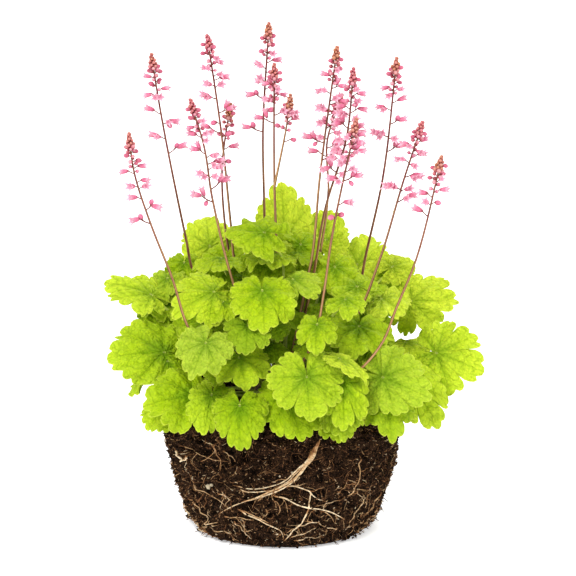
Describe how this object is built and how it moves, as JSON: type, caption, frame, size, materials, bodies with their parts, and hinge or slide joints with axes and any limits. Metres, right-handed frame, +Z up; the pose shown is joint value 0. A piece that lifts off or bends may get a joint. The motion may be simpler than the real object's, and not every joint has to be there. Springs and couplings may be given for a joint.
{
  "type": "heuchera plant",
  "caption": "Lime-leaved heuchera in flower, out of its pot: moulded root ball with surface roots, mound of lobed leaves on stalks, wiry upright stems of small pink bells.",
  "frame": {"origin": "middle of the root ball's flat underside", "axes": "+Z up along the root ball's axis towards the flower tips; -Y is the front, towards the camera of the picture; +X is to the right in the picture"},
  "size_m": [0.3035, 0.2607, 0.4071],
  "materials": {
    "soil": "moist dark potting compost, matt and crumbly",
    "crown_wood": "rough woody stock",
    "root_straw": "pale tan root, matt",
    "leaf_green": "lime-green leaf, slightly glossy, lets light through",
    "flower_pink": "pink flowers on reddish-brown wiry stems"
  },
  "bodies": {
    "root": {"root_ball": "soil", "crown": "crown_wood", "root_thick": "root_straw", "root_cross": "root_straw", "root_fork": "root_straw", "root_side": "root_straw", "leaf_low_1": "leaf_green", "leaf_low_2": "leaf_green", "leaf_low_3": "leaf_green", "leaf_low_4": "leaf_green", "leaf_low_5": "leaf_green", "leaf_low_6": "leaf_green", "leaf_low_7": "leaf_green", "leaf_low_8": "leaf_green", "leaf_low_9": "leaf_green", "leaf_low_10": "leaf_green", "leaf_low_11": "leaf_green", "leaf_low_12": "leaf_green", "leaf_low_13": "leaf_green", "leaf_low_14": "leaf_green", "leaf_mid_1": "leaf_green", "leaf_mid_2": "leaf_green", "leaf_mid_3": "leaf_green", "leaf_mid_4": "leaf_green", "leaf_mid_5": "leaf_green", "leaf_mid_6": "leaf_green", "leaf_mid_7": "leaf_green", "leaf_mid_8": "leaf_green", "leaf_mid_9": "leaf_green", "leaf_mid_10": "leaf_green", "leaf_mid_11": "leaf_green", "leaf_mid_12": "leaf_green", "leaf_high_1": "leaf_green", "leaf_high_2": "leaf_green", "leaf_high_3": "leaf_green", "leaf_high_4": "leaf_green", "leaf_high_5": "leaf_green", "leaf_high_6": "leaf_green", "leaf_high_7": "leaf_green", "leaf_high_8": "leaf_green", "leaf_top_1": "leaf_green", "leaf_top_2": "leaf_green", "leaf_top_3": "leaf_green", "leaf_top_4": "leaf_green", "leaf_top_5": "leaf_green", "leaf_top_6": "leaf_green", "flower_stem_1": "flower_pink", "flower_stem_2": "flower_pink", "flower_stem_3": "flower_pink", "flower_stem_4": "flower_pink", "flower_stem_5": "flower_pink", "flower_stem_6": "flower_pink", "flower_stem_7": "flower_pink", "flower_stem_9": "flower_pink", "flower_stem_10": "flower_pink", "flower_stem_11": "flower_pink", "flower_stem_12": "flower_pink", "flower_stem_13": "flower_pink", "flower_stem_14": "flower_pink", "flower_stem_15": "flower_pink"}
  },
  "joints": []
}
